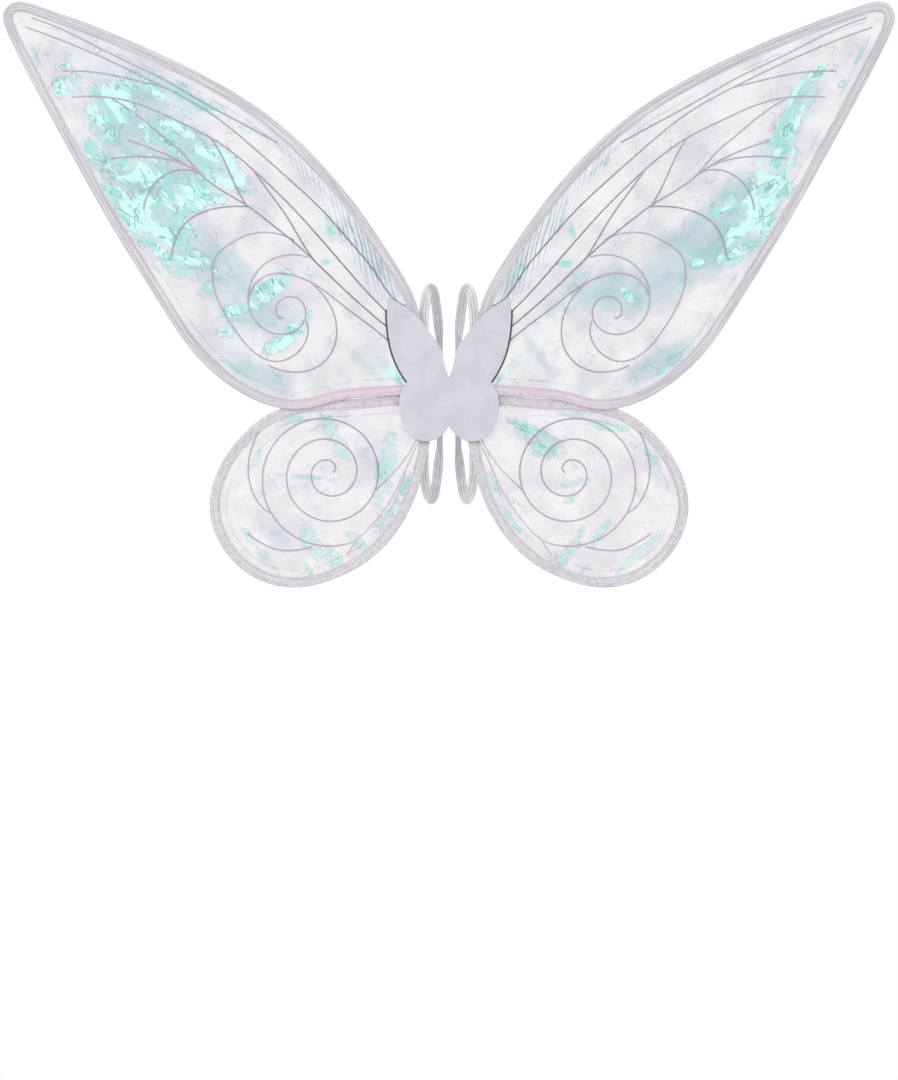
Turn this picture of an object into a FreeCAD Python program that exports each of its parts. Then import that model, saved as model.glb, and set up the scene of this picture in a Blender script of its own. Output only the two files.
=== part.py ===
"""Fairy wings for dressing up: two leaf-shaped forewings and two rounded hindwings of clear film.

Each wing is a closed loop of steel wire inside a folded fabric edge binding, with film stretched across
it and raised glitter veins on its outer face. The wing roots are held between two butterfly-shaped felt
patches, and two elastic arm loops are sewn to the rear one.

Frame: X is the span, Z is up, and Y is the depth. The outer face looks along -Y and the wearer's back is
at +Y. The origin is the centre of the rear patch, on the face that rests on the back. Sizes are in mm.
Everything is drawn for the right-hand side (+X), and the left-hand side is its mirror image.
"""
import FreeCAD, Part
import math
import os

Vector = FreeCAD.Vector

# Driving dimensions
FELT_THICK = 1.5
LAYER_GAP = 0.2
BINDING_THICK = 3.0
TAPE_THICK = 0.45
BINDING_WIDTH = 11.0
WIRE_RADIUS = 0.9
WIRE_PLAY = 0.15
WIRE_INSET = TAPE_THICK + WIRE_RADIUS + WIRE_PLAY
FILM_THICK = 0.3
FILM_INSET = 5.0
VEIN_WIDTH = 1.5
VEIN_THICK = 0.6
SLEEVE_WALL = 0.35
SLEEVE_PLAY = 0.06
SLEEVE_LENGTH = 14.0
BINDING_END_PLAY = 2.0
OVERCUT = 0.5
WIRE_END_GAP = 0.6
STITCH_RADIUS = 0.35
STITCH_PLAY = 0.05
EDGE_CORD_WIDTH = 1.8
EDGE_CORD_PLAY = 0.15
EDGE_CORD_STEPS = 24
STRAP_WIDTH = 10.0
STRAP_THICK = 1.0
BODY_GAP = 0.3

# The fold lines run up the patch, each side of a narrow strip that stays against the spine
FOLD_X = 4.0

# How many points carry a curve that is worked out from another
CURVE_STEPS = 130
SPIRAL_STEPS = 12
FINE_STEPS = 2000

# Layers, from the wearer's back at Y = 0 towards the outer face
FELT_REAR = (0.0, -FELT_THICK)
HIND_LAYER = (FELT_REAR[1] - LAYER_GAP, FELT_REAR[1] - LAYER_GAP - BINDING_THICK)
FORE_LAYER = (HIND_LAYER[1] - LAYER_GAP, HIND_LAYER[1] - LAYER_GAP - BINDING_THICK)
FELT_FRONT = (FORE_LAYER[1] - LAYER_GAP, FORE_LAYER[1] - LAYER_GAP - FELT_THICK)
HIND_Y = sum(HIND_LAYER) / 2
FORE_Y = sum(FORE_LAYER) / 2

# Outlines (X, Z), clockwise as seen by a viewer who faces the outer side. Each starts at the root, under
# the patch, where the wire loop is closed
FOREWING_EDGE = [
    (19, 30), (22, 55), (29, 84), (36, 108), (58.5, 150), (92, 200), (132.5, 249.5), (187, 301),
    (264.5, 349.5), (329, 380), (388, 404), (437, 421.5), (455.5, 426), (469, 422.5), (474.5, 410.5),
    (470, 393), (449, 350), (422, 300), (394.5, 250), (366.5, 200), (337, 151), (309.5, 107), (289, 75),
    (269.5, 49.5), (246, 27), (218.5, 8), (191, -4), (168, -8), (148, -6.5), (126, -0.5), (98, 4), (70, 6),
    (44, 7.5), (25, 13),
]
HINDWING_EDGE = [
    (18, -15), (26, 3), (45, 7), (95, 3.5), (145, 0.5), (184, -9), (220, -35), (247, -75), (255, -111),
    (240.5, -156), (204, -188.5), (162, -197.5), (120, -187.5), (81.5, -165.5), (50.5, -130), (32, -90),
    (21.5, -48),
]

# Half of the butterfly patch: the inner edge of the upper lobe, its outer edge, then the lower lobe
PATCH_NOTCH_TOP = (0, 26)
PATCH_TIP = (64.5, 111.5)
PATCH_WAIST = (44.5, 21)
PATCH_NOTCH_BOTTOM = (0, -25)
PATCH_REACH = 150
PATCH_INNER_EDGE = [PATCH_NOTCH_TOP, (4.5, 39), (9, 57), (20, 73), (32, 89), (47, 101), PATCH_TIP]
PATCH_OUTER_EDGE = [PATCH_TIP, (66, 98), (65.5, 82), (63.5, 66), (58.5, 47), (51, 31), PATCH_WAIST]
PATCH_LOWER_LOBE = [
    PATCH_WAIST, (50.5, 12), (53, -6), (49, -25), (38, -38), (24, -42), (10, -37), PATCH_NOTCH_BOTTOM,
]

# Forewing veins (X, Z), each from the patch or its parent vein outwards
LONG_VEINS = [
    [(183, 276), (214, 293), (260, 318), (305, 344), (357, 369), (400, 391), (445, 409)],
    [(46, 102), (63, 114), (76, 134), (98, 162), (136, 205), (169, 236), (212, 274), (252, 306), (305, 336),
     (350, 358), (400, 380), (451, 399)],
    [(303, 335), (340, 344), (378, 351), (411, 352)],
    [(62, 92), (90, 120), (117, 151), (144, 182), (164, 204), (188, 228), (214, 252), (250, 279), (293, 301),
     (336, 319), (370, 325), (401, 324)],
    [(60, 75), (90, 100), (112, 120), (141, 148), (165, 170), (190, 190), (215, 209), (262, 240), (284, 265),
     (305, 283), (330, 304), (358, 322)],
]
BRANCH_VEINS = [
    [(253, 280), (242, 262), (231, 238), (216, 210)],
    [(208, 246), (186, 216), (170, 193), (156, 169), (142, 149)],
    [(263, 241), (290, 258), (320, 271), (342, 279)],
    [(263, 241), (288, 255), (318, 261), (360, 259)],
    [(263, 241), (287, 247), (305, 240), (318, 226), (325, 205)],
    [(213, 208), (238, 207.5), (262, 202), (281, 190), (292, 171), (295, 155)],
]
FOREWING_SPIRAL = {
    "centre": (176.0, 90.3), "drift": (-1.0, 12.0), "first_angle": -90, "turns": 1.58,
    "radii": (0.4, 26.6, 3.3), "start": 0.02,
}
ROOT_VEIN = [
    (58, 59), (84, 81), (112, 102), (138, 122), (160, 133), (178, 137), (195, 134), (206, 126), (212, 113),
]
LEFT_ARC_VEIN = [(148, 128), (131, 110), (121, 88), (120, 68), (128, 48), (145, 35), (170, 32), (192, 39)]
OUTER_LOOP_VEIN = [
    (152, 86), (151, 69), (163, 51), (184, 43), (205, 51), (228, 77), (244, 104), (252, 135), (248, 155),
    (232, 169), (210, 179), (183, 179), (165, 172),
]

# Hindwing veins (X, Z)
HINDWING_SPIRAL = {
    "centre": (127.2, -73.3), "drift": (1.65, -2.42), "first_angle": -150, "turns": -2.9,
    "radii": (3.6, 25.3, -0.26),
}
HIND_ROOT_VEIN = [
    (30, -38), (40, -58), (55, -91), (70, -116), (84, -133), (94, -143), (104, -149.5),
]
HIND_INNER_VEIN = [(34, -39), (48, -62), (62, -78.5), (72, -88), (79.2, -94.8)]
HIND_OUTER_VEINS = [
    [(203, -32), (211, -52), (214, -73), (210, -94), (199, -112), (190.5, -118)],
    [(146, -154), (165, -158), (184, -157), (200, -150), (215, -140)],
    [(95, -142), (109, -163)],
]

# Whip stitches that tie each hindwing to the forewing along the edge that they share
WHIP_STITCH_X = [60, 76, 92, 108, 123]
WHIP_STITCH_REACH = 4.0
SEAM_HEIGHT = 3.0

# Arm loops. The sewn strand lies on the rear patch, and both of its ends stand off to meet the free loop
STRAP_X = 27.0
STRAP_SEWN_TOP = 82.0
STRAP_SEWN_BOTTOM = -38.0
STRAP_TAIL_RISE = 6.0
STRAP_TAIL_HEIGHT = 8.0
STRAP_TAIL_TAPER = 1.0
STRAP_TOP = 127.5
STRAP_BOTTOM = -107.5
STRAP_FREE_X = 10.0
STRAP_DEPTH = 56.0
STRAP_PIVOT_Y = BODY_GAP / 2 + STRAP_THICK / 2 + STRAP_TAIL_RISE
BAR_STITCH_SIZE = (7.0, 9.0)
BAR_STITCH_Z = (66.0, -24.0)


def at(x, z, y=0.0):
    return Vector(x, y, z)


def smooth_curve(points):
    """An open curve in the XZ plane through (x, z) points."""
    curve = Part.BSplineCurve()
    curve.interpolate(Points=[at(x, z) for x, z in points])
    return curve


def closed_edge(points):
    """A smooth closed edge in the XZ plane through (x, z) points."""
    curve = Part.BSplineCurve()
    curve.interpolate(Points=[at(x, z) for x, z in points], PeriodicFlag=True)
    return curve.toShape()


def inset(edge, distance, steps=CURVE_STEPS):
    """The closed edge, moved inwards by distance. An outline here runs clockwise."""
    curve = edge.Curve
    points = []
    for point in edge.discretize(Number=steps + 1)[:-1]:
        along = curve.tangent(curve.parameter(point))[0]
        points.append((point.x + along.z * distance, point.z - along.x * distance))
    return closed_edge(points)


def face_of(*edges):
    return Part.Face(Part.Wire(list(edges)))


def plate(face, layer):
    """The flat face, moved to the layer's rear level and thickened forwards to its front level."""
    rear, front = layer
    moved = face.copy()
    moved.translate(Vector(0, rear, 0))
    return moved.extrude(Vector(0, front - rear, 0))


def ring(outer, inner, layer):
    return plate(face_of(outer), layer).cut(plate(face_of(inner), layer))


def edge_binding(outline, layer):
    """A tape folded round the wing's edge: one flange each side of the film, and a fold outside the wire.
    Its two ends stop short of each other at the root, under the patch, where the wire's sleeve is."""
    rear, front = layer
    tape = ring(outline, inset(outline, BINDING_WIDTH), layer)
    pocket = (rear - TAPE_THICK, front + TAPE_THICK)
    tape = tape.cut(ring(inset(outline, TAPE_THICK), inset(outline, BINDING_WIDTH + OVERCUT), pocket))
    height = SLEEVE_LENGTH + 2 * BINDING_END_PLAY
    root = outline.Curve.value(outline.FirstParameter)
    corner = Vector(root.x - BINDING_WIDTH, front, root.z - height / 2)
    return tape.cut(Part.makeBox(3 * BINDING_WIDTH, rear - front, height, corner))


def wing_film(outline, level):
    return plate(face_of(inset(outline, FILM_INSET)), (level + FILM_THICK / 2, level - FILM_THICK / 2))


def pipe(route, spans, radius):
    """A round bar of that radius along the route, over one or more joined spans of its parameter."""
    path = Part.Wire([route.toShape(start, end) for start, end in spans])
    first = spans[0][0]
    section = Part.Wire([Part.Circle(route.value(first), route.tangent(first)[0], radius).toShape()])
    return path.makePipeShell([section], True, False)


def wire_and_sleeve(outline, level):
    """The steel wire loop, open at the root, and the crimp sleeve that joins its two ends there."""
    edge = inset(outline, WIRE_INSET)
    edge.translate(Vector(0, level, 0))
    route = edge.Curve
    route.setNotPeriodic()
    first, last = route.FirstParameter, route.LastParameter
    per_length = (last - first) / edge.Length
    gap = WIRE_END_GAP / 2 * per_length
    reach = SLEEVE_LENGTH / 2 * per_length
    spans = [(last - reach, last), (first, first + reach)]
    bore = WIRE_RADIUS + SLEEVE_PLAY
    wire = pipe(route, [(first + gap, last - gap)], WIRE_RADIUS)
    return wire, pipe(route, spans, bore + SLEEVE_WALL).cut(pipe(route, spans, bore))


def strip_along(curve, near, far, steps):
    """The flat strip between two distances to the left of an open curve, as seen from the outer side."""
    first, last = curve.FirstParameter, curve.LastParameter
    sides = ([], [])
    for i in range(steps + 1):
        parameter = first + (last - first) * i / steps
        point = curve.value(parameter)
        along = curve.tangent(parameter)[0]
        for side, offset in zip(sides, (near, far)):
            side.append((point.x - along.z * offset, point.z + along.x * offset))
    edges = [smooth_curve(side).toShape() for side in sides]
    for end in (0, -1):
        edges.append(Part.makeLine(at(*sides[0][end]), at(*sides[1][end])))
    return Part.Face(Part.Wire(Part.__sortEdges__(edges)))


def ribbon(points, width=VEIN_WIDTH, steps_per_span=3):
    """A flat strip of even width along a smooth curve through the (x, z) points."""
    return strip_along(smooth_curve(points), -width / 2, width / 2, steps_per_span * (len(points) - 1))


def spiral(centre, drift, first_angle, turns, radii, start=0.0):
    """Points on a spiral of that many turns, clockwise when negative. Its radius is a polynomial in the count
    of turns, with the coefficients radii, and drift is how far the centre moves with each turn."""
    steps = math.ceil(abs(turns) * SPIRAL_STEPS)
    points = []
    for i in range(steps + 1):
        turn = start + (abs(turns) - start) * i / steps
        angle = math.radians(first_angle + math.copysign(360, turns) * turn)
        radius = sum(coefficient * turn**power for power, coefficient in enumerate(radii))
        points.append((centre[0] + drift[0] * turn + radius * math.cos(angle),
                       centre[1] + drift[1] * turn + radius * math.sin(angle)))
    return points


def veins(lines, level):
    """Raised lines on the film's outer face, joined where they meet."""
    front = level - FILM_THICK / 2
    strips = [plate(ribbon(line), (front, front - VEIN_THICK)) for line in lines]
    joined = strips[0].multiFuse(strips[1:]) if len(strips) > 1 else strips[0]
    return joined.removeSplitter()


def forewing_veins():
    """The long veins with their branches, and the spiral group, which stops where it meets a long vein."""
    long_veins = veins(LONG_VEINS + BRANCH_VEINS, FORE_Y)
    group = [spiral(**FOREWING_SPIRAL), ROOT_VEIN, LEFT_ARC_VEIN, OUTER_LOOP_VEIN]
    return long_veins, veins(group, FORE_Y).cut(long_veins)


def hindwing_veins():
    return veins([spiral(**HINDWING_SPIRAL), HIND_ROOT_VEIN, HIND_INNER_VEIN] + HIND_OUTER_VEINS, HIND_Y)


def patch_face():
    """The right half of the butterfly patch, closed along the centre line."""
    edges = [smooth_curve(line).toShape() for line in (PATCH_INNER_EDGE, PATCH_OUTER_EDGE, PATCH_LOWER_LOBE)]
    edges.append(Part.makeLine(at(*PATCH_NOTCH_BOTTOM), at(*PATCH_NOTCH_TOP)))
    return face_of(*edges)


def fold_split(low, high, layer):
    """A block that holds the part of the patch between X = low and X = high."""
    rear, front = layer
    return Part.makeBox(high - low, rear - front, 2 * PATCH_REACH, Vector(low, front, -PATCH_REACH))


def patch_half(layer):
    """One wing's side of a felt patch, outside the fold line."""
    return plate(patch_face(), layer).common(fold_split(FOLD_X + BODY_GAP, PATCH_REACH, layer))


def patch_fold_strip(layer):
    """The strip of a felt patch between the two fold lines."""
    half = plate(patch_face(), layer).common(fold_split(0, FOLD_X, layer))
    return half.fuse(mirrored(half)).removeSplitter()


def edge_cord():
    """The dark cord round the outer edge of a front upper lobe. It touches the felt all along."""
    line = smooth_curve(PATCH_OUTER_EDGE[1:])
    far = EDGE_CORD_PLAY + EDGE_CORD_WIDTH
    return plate(strip_along(line, EDGE_CORD_PLAY, far, EDGE_CORD_STEPS), FELT_FRONT)


def nearest_height(edge, x, z):
    """The height of the closed edge at X = x, where that is within reach of z."""
    points = [point for point in edge.discretize(Number=FINE_STEPS) if abs(point.z - z) < BINDING_WIDTH]
    return min(points, key=lambda point: abs(point.x - x)).z


def whip_stitches(forewing, hindwing):
    """Rectangular loops of thread round the two wires where the wings meet, each through both bindings."""
    rear = HIND_LAYER[0] + STITCH_RADIUS + STITCH_PLAY
    front = FORE_LAYER[1] - STITCH_RADIUS - STITCH_PLAY
    loops = []
    for x in WHIP_STITCH_X:
        high = nearest_height(forewing, x, SEAM_HEIGHT) + WHIP_STITCH_REACH
        low = nearest_height(hindwing, x, SEAM_HEIGHT) - WHIP_STITCH_REACH
        corners = [Vector(x, y, z) for y, z in ((rear, low), (rear, high), (front, high), (front, low))]
        bars = []
        for corner, following in zip(corners, corners[1:] + corners[:1]):
            run = following - corner
            bars.append(Part.makeCylinder(STITCH_RADIUS, run.Length, corner, run))
            bars.append(Part.makeSphere(STITCH_RADIUS, corner))
        loops.append(bars[0].multiFuse(bars[1:]).removeSplitter())
    return Part.makeCompound(loops)


def sewn_strand():
    """The strand of an arm loop that is sewn along the rear patch, with a tail at each end that stands off."""
    low, high = BODY_GAP / 2, BODY_GAP / 2 + STRAP_THICK
    tail, taper = STRAP_TAIL_RISE, STRAP_TAIL_TAPER
    top, bottom = STRAP_SEWN_TOP, STRAP_SEWN_BOTTOM
    height = STRAP_TAIL_HEIGHT
    near = [(low + tail, bottom - height), (low, bottom), (low, top), (low + tail, top + height)]
    far = [(high + tail, top + height), (high, top - taper), (high, bottom + taper),
           (high + tail, bottom - height)]
    corners = [Vector(STRAP_X - STRAP_WIDTH / 2, y, z) for y, z in near + far]
    return Part.Face(Part.makePolygon(corners + corners[:1])).extrude(Vector(STRAP_WIDTH, 0, 0))


def strap_loop():
    """The free part of an arm loop: up from the sewn strand, over, down behind the arm and back."""
    reach = math.hypot(STRAP_X - STRAP_FREE_X, STRAP_DEPTH)
    top_start = STRAP_SEWN_TOP + STRAP_TAIL_HEIGHT + BODY_GAP
    bottom_start = STRAP_SEWN_BOTTOM - STRAP_TAIL_HEIGHT - BODY_GAP
    half = STRAP_THICK / 2
    bend = reach / 2
    top_bend = STRAP_TOP - half - bend
    bottom_bend = STRAP_BOTTOM + half + bend

    def side(offset):
        """The C-shaped path at that distance outside the band's centreline."""
        radius = bend + offset
        near, far = -offset, reach + offset
        points = [Vector(0, near, top_start), Vector(0, near, top_bend), Vector(0, bend, top_bend + radius),
                  Vector(0, far, top_bend), Vector(0, far, bottom_bend),
                  Vector(0, bend, bottom_bend - radius), Vector(0, near, bottom_bend),
                  Vector(0, near, bottom_start)]
        return [Part.makeLine(points[0], points[1]), Part.Arc(*points[1:4]).toShape(),
                Part.makeLine(points[3], points[4]), Part.Arc(*points[4:7]).toShape(),
                Part.makeLine(points[6], points[7])], points

    outer, outer_points = side(half)
    inner, inner_points = side(-half)
    ends = [Part.makeLine(outer_points[i], inner_points[i]) for i in (0, -1)]
    face = Part.Face(Part.Wire(Part.__sortEdges__(outer + inner + ends)))
    loop = face.extrude(Vector(STRAP_WIDTH, 0, 0))
    loop.translate(Vector(-STRAP_WIDTH / 2, 0, 0))
    lean = math.degrees(math.atan2(STRAP_X - STRAP_FREE_X, STRAP_DEPTH))
    loop.rotate(Vector(0, 0, 0), Vector(0, 0, 1), lean)
    loop.translate(Vector(STRAP_X, STRAP_PIVOT_Y, 0))
    return loop


def bar_stitches():
    """Two boxed crosses of thread that hold the sewn strand to the rear patch."""
    wide, tall = BAR_STITCH_SIZE
    level = BODY_GAP / 2 + STRAP_THICK
    thread = 2 * STITCH_RADIUS
    shapes = []
    for z in BAR_STITCH_Z:
        left, right = STRAP_X - wide / 2, STRAP_X + wide / 2
        low, high = z - tall / 2, z + tall / 2
        corners = [(left, low), (right, low), (right, high), (left, high)]
        sides = list(zip(corners, corners[1:] + corners[:1]))
        lines = sides + [(corners[0], corners[2]), (corners[1], corners[3])]
        strips = [plate(ribbon(list(line), thread, 1), (level + thread, level)) for line in lines]
        shapes.append(strips[0].multiFuse(strips[1:]).removeSplitter())
    return Part.makeCompound(shapes)


def mirrored(shape):
    return shape.mirror(Vector(0, 0, 0), Vector(1, 0, 0))


def side_parts():
    """Every sub-part of the right-hand side, by name."""
    forewing = closed_edge(FOREWING_EDGE)
    hindwing = closed_edge(HINDWING_EDGE)
    long_veins, spiral_veins = forewing_veins()
    fore_wire, fore_sleeve = wire_and_sleeve(forewing, FORE_Y)
    hind_wire, hind_sleeve = wire_and_sleeve(hindwing, HIND_Y)
    return {
        "forewing_wire": fore_wire,
        "forewing_wire_sleeve": fore_sleeve,
        "forewing_edge_binding": edge_binding(forewing, FORE_LAYER),
        "forewing_film": wing_film(forewing, FORE_Y),
        "forewing_long_veins": long_veins,
        "forewing_spiral_veins": spiral_veins,
        "hindwing_wire": hind_wire,
        "hindwing_wire_sleeve": hind_sleeve,
        "hindwing_edge_binding": edge_binding(hindwing, HIND_LAYER),
        "hindwing_film": wing_film(hindwing, HIND_Y),
        "hindwing_veins": hindwing_veins(),
        "wing_seam_stitches": whip_stitches(forewing, hindwing),
        "front_patch": patch_half(FELT_FRONT),
        "rear_patch": patch_half(FELT_REAR),
        "patch_edge_cord": edge_cord(),
        "strap_sewn_strand": sewn_strand(),
        "strap_bar_stitches": bar_stitches(),
        "strap_loop": strap_loop(),
    }


def main():
    os.makedirs("parts", exist_ok=True)
    parts = {
        "front_patch_fold": patch_fold_strip(FELT_FRONT),
        "rear_patch_fold": patch_fold_strip(FELT_REAR),
    }
    for name, shape in side_parts().items():
        parts["right_" + name] = shape
        parts["left_" + name] = mirrored(shape)
    for name, shape in sorted(parts.items()):
        shape.exportStep(f"parts/{name}.step")
        box = shape.BoundBox
        print(f"{name:32s} solids {len(shape.Solids)} valid {shape.isValid()} volume {shape.Volume:9.1f}"
              f" x {box.XMin:7.1f} {box.XMax:7.1f} y {box.YMin:6.2f} {box.YMax:6.2f}"
              f" z {box.ZMin:7.1f} {box.ZMax:7.1f}")


main()
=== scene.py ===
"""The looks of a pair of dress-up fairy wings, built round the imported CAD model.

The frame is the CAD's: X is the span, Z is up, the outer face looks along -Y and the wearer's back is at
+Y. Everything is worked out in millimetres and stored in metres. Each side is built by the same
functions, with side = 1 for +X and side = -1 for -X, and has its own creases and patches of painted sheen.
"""

import math

import bmesh
import bpy
import numpy as np
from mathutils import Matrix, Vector, geometry, kdtree


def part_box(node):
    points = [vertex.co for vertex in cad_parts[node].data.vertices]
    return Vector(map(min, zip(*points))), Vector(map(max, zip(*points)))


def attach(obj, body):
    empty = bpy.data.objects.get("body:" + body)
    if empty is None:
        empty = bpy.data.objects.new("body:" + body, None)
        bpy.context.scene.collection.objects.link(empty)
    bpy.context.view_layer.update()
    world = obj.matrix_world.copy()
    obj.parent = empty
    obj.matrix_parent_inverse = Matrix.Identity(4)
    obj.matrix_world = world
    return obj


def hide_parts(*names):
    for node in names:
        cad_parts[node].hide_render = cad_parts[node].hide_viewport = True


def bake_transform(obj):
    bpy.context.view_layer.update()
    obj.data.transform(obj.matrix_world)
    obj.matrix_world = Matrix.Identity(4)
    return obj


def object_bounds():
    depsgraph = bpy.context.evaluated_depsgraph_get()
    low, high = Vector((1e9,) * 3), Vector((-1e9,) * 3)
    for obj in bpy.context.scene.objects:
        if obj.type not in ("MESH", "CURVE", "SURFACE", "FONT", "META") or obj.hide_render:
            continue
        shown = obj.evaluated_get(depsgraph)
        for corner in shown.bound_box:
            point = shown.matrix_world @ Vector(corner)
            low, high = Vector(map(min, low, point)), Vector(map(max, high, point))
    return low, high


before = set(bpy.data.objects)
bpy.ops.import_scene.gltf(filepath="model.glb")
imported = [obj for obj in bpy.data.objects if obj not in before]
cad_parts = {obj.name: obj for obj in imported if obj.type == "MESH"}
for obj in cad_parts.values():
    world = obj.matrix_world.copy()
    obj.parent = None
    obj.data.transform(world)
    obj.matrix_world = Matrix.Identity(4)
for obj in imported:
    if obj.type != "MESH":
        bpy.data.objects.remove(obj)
CAD_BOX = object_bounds()

MM = 0.001
SIDES = {"right": 1, "left": -1}
SEEDS = {"right": 11, "left": 47}

# The fabric tape folded over each wing's edge
FILM_TUCK = 5.0
TAPE_GAP = 18.0
TAPE_STEP = 1.8
TAPE_PROFILE = [
    (11.0, 0.28), (10.4, 0.48), (9.6, 0.56), (8.8, 0.62), (8.0, 0.68), (7.2, 0.76), (6.4, 0.86), (5.6, 0.97),
    (4.8, 1.08), (4.0, 1.20), (3.2, 1.32), (2.4, 1.42), (1.7, 1.46), (1.0, 1.32), (0.45, 1.0), (0.12, 0.55),
]

# The folds along it: their spacing across it, and how much of its thickness folds and swellings take
TAPE_FOLD = 2.3
TAPE_FOLD_DEPTH = 0.16
TAPE_SWELL_DEPTH = 0.12
# How far its inner edge wanders, which fades out towards the wire
TAPE_WANDER = 0.9
TAPE_WANDER_FROM = (7.0, 11.0)

# The tape turns pinkish from the first of these heights in mm to the second, and from the first distance out
# to the second, so most of all where the wings meet. The hindwings' tape is the more mottled one.
PINK_HEIGHTS = {"forewing": (30, 12), "hindwing": (-12, -4)}
PINK_REACH = (215, 150)
PINK_SHARE = {"forewing": 1.0, "hindwing": 0.35}
FLECK_SHARE = {"forewing": 0.3, "hindwing": 1.0}

# The film
FILM_STEP = 2.0
CREASES = [(47.0, 0.75), (21.0, 0.5), (9.0, 0.26)]
CALM_EDGE = 7.0
CALM_REACH = 14.0
FILM_BLUSH = {"forewing": 0.15, "hindwing": 0.8}

# The raised veins
VEIN_STEP = 2.5
BEAD_INSET = 0.45
BEAD_DROP = 0.35
BEAD_LIFT = 0.15
# The hindwings' veins turn pale below a line through the roots, where x + PALE_SLOPE z goes from 24 to 14 mm
PALE_SLOPE = 0.6
PALE_LINE = (24, 14)

# The felt patches
FOLD_GAP = 0.3
FELT_SNAP = 0.05
FELT_CENTRE = (20.0, 10.0)
FELT_LAST_ANGLE = -2.4
FELT_STEP = 3.0
FELT_FOLD_STEP = 0.8
FELT_FOLD_END = 9.0
FELT_EDGE_ROUND = 0.7
FELT_RIM_STEP = 1.5
FELT_ROW_STEP = 1.6
FELT_RIM_ROWS = (0.2, 0.5, 1.0)
FELT_RIM_CLEAR = 1.4
FELT_RIM_THICK = 0.35
FELT_WAVE = 0.16

# The arm loops
STRAP_WIDTH = 10.0
STRAP_THICK = 1.0
STRAP_RIBS = 3
STRAP_TWIST = math.radians(50)
STRAP_RIB_DEPTH = 0.22
STRAP_RING = 25
ROUTE_STEPS = 6
# How many points a straight strand has, and how far it stops short of its crowns in mm
SEWN_STRAND = (12, 8)
FREE_STRAND = (9, 24)
# The crown of an arm loop: how far inwards and back as shares of the loop's, how far below its tip in mm,
# and the direction across the band in degrees, from outwards to upwards
STRAP_CROWN = [
    (0.02, 0.06, 32, 2), (0.08, 0.14, 23, 8), (0.18, 0.24, 13.5, 22), (0.30, 0.36, 6.5, 52),
    (0.46, 0.5, 4, 90), (0.60, 0.62, 6, 124), (0.69, 0.74, 12, 150), (0.78, 0.86, 22, 166),
    (0.88, 0.95, 36, 173),
]


# ---------------------------------------------------------------- shapes from the frame

def front_triangles(node):
    """The triangles of a node's flat front face, as a list of three (x, z) points in mm each."""
    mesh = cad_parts[node].data
    corners = [(round(v.co.x / MM, 3), round(v.co.z / MM, 3)) for v in mesh.vertices]
    return [[corners[i] for i in face.vertices] for face in mesh.polygons if face.normal.y < -0.9]


def rim(node):
    """The outline of a node's flat front face, in order, as an array of (x, z) points in mm."""
    count = {}
    for triangle in front_triangles(node):
        for a, b in zip(triangle, triangle[1:] + triangle[:1]):
            count[(a, b)] = count.get((a, b), 0) + 1
    following = {a: b for (a, b) in count if (b, a) not in count}
    start = min(following)
    loop = [start]
    while following[loop[-1]] != start:
        loop.append(following[loop[-1]])
    return np.array(loop, float)


def evenly_spaced(loop, step):
    """A closed outline resampled at even steps, and its outward normals, smoothed along it."""
    closed = np.vstack([loop, loop[:1]])
    run = np.concatenate([[0], np.cumsum(np.linalg.norm(np.diff(closed, axis=0), axis=1))])
    count = int(round(run[-1] / step))
    at = np.linspace(0, run[-1], count, endpoint=False)
    points = np.column_stack([np.interp(at, run, closed[:, i]) for i in (0, 1)])
    along = np.roll(points, -2, axis=0) - np.roll(points, 2, axis=0)
    along /= np.linalg.norm(along, axis=1)[:, None]
    normals = np.column_stack([along[:, 1], -along[:, 0]])
    if np.sum(points[:, 0] * np.roll(points[:, 1], -1) - np.roll(points[:, 0], -1) * points[:, 1]) < 0:
        normals = -normals
    return points, normals, run[-1]


def inside(points, loop):
    """Which of the (x, z) points lie inside the closed outline."""
    x, z = points[:, 0], points[:, 1]
    result = np.zeros(len(points), bool)
    for (ax, az), (bx, bz) in zip(loop, np.roll(loop, -1, axis=0)):
        if az == bz:
            continue
        crosses = (az > z) != (bz > z)
        result ^= crosses & (x < ax + (z - az) * (bx - ax) / (bz - az))
    return result


def distance_to(points, loop):
    """The distance from each (x, z) point to the nearest point of the outline."""
    dense, _, _ = evenly_spaced(loop, 1.0)
    tree = kdtree.KDTree(len(dense))
    for i, (x, z) in enumerate(dense):
        tree.insert((x, 0, z), i)
    tree.balance()
    return np.array([tree.find((x, 0, z))[2] for x, z in points])


def smooth_step(values, low, high):
    """0 at low, 1 at high and smooth between them, also where low is above high."""
    t = np.clip((values - low) / (high - low), 0, 1)
    return t * t * (3 - 2 * t)


def noise(u, v, size, seed):
    """Smooth random values from 0 to 1 over the plane, with features of about that size."""
    count = 64
    table = np.random.default_rng(seed).random((count, count))
    u, v = u / size, v / size
    i, j = np.floor(u).astype(int), np.floor(v).astype(int)
    fu, fv = smooth_step(u - i, 0, 1), smooth_step(v - j, 0, 1)
    i, j, next_i, next_j = i % count, j % count, (i + 1) % count, (j + 1) % count
    low = table[i, j] * (1 - fu) + table[next_i, j] * fu
    high = table[i, next_j] * (1 - fu) + table[next_i, next_j] * fu
    return low * (1 - fv) + high * fv


def noise_along(along, row, size, seed):
    """The same noise along one row of the plane."""
    return noise(along, np.full(len(along), row), size, seed)


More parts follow.
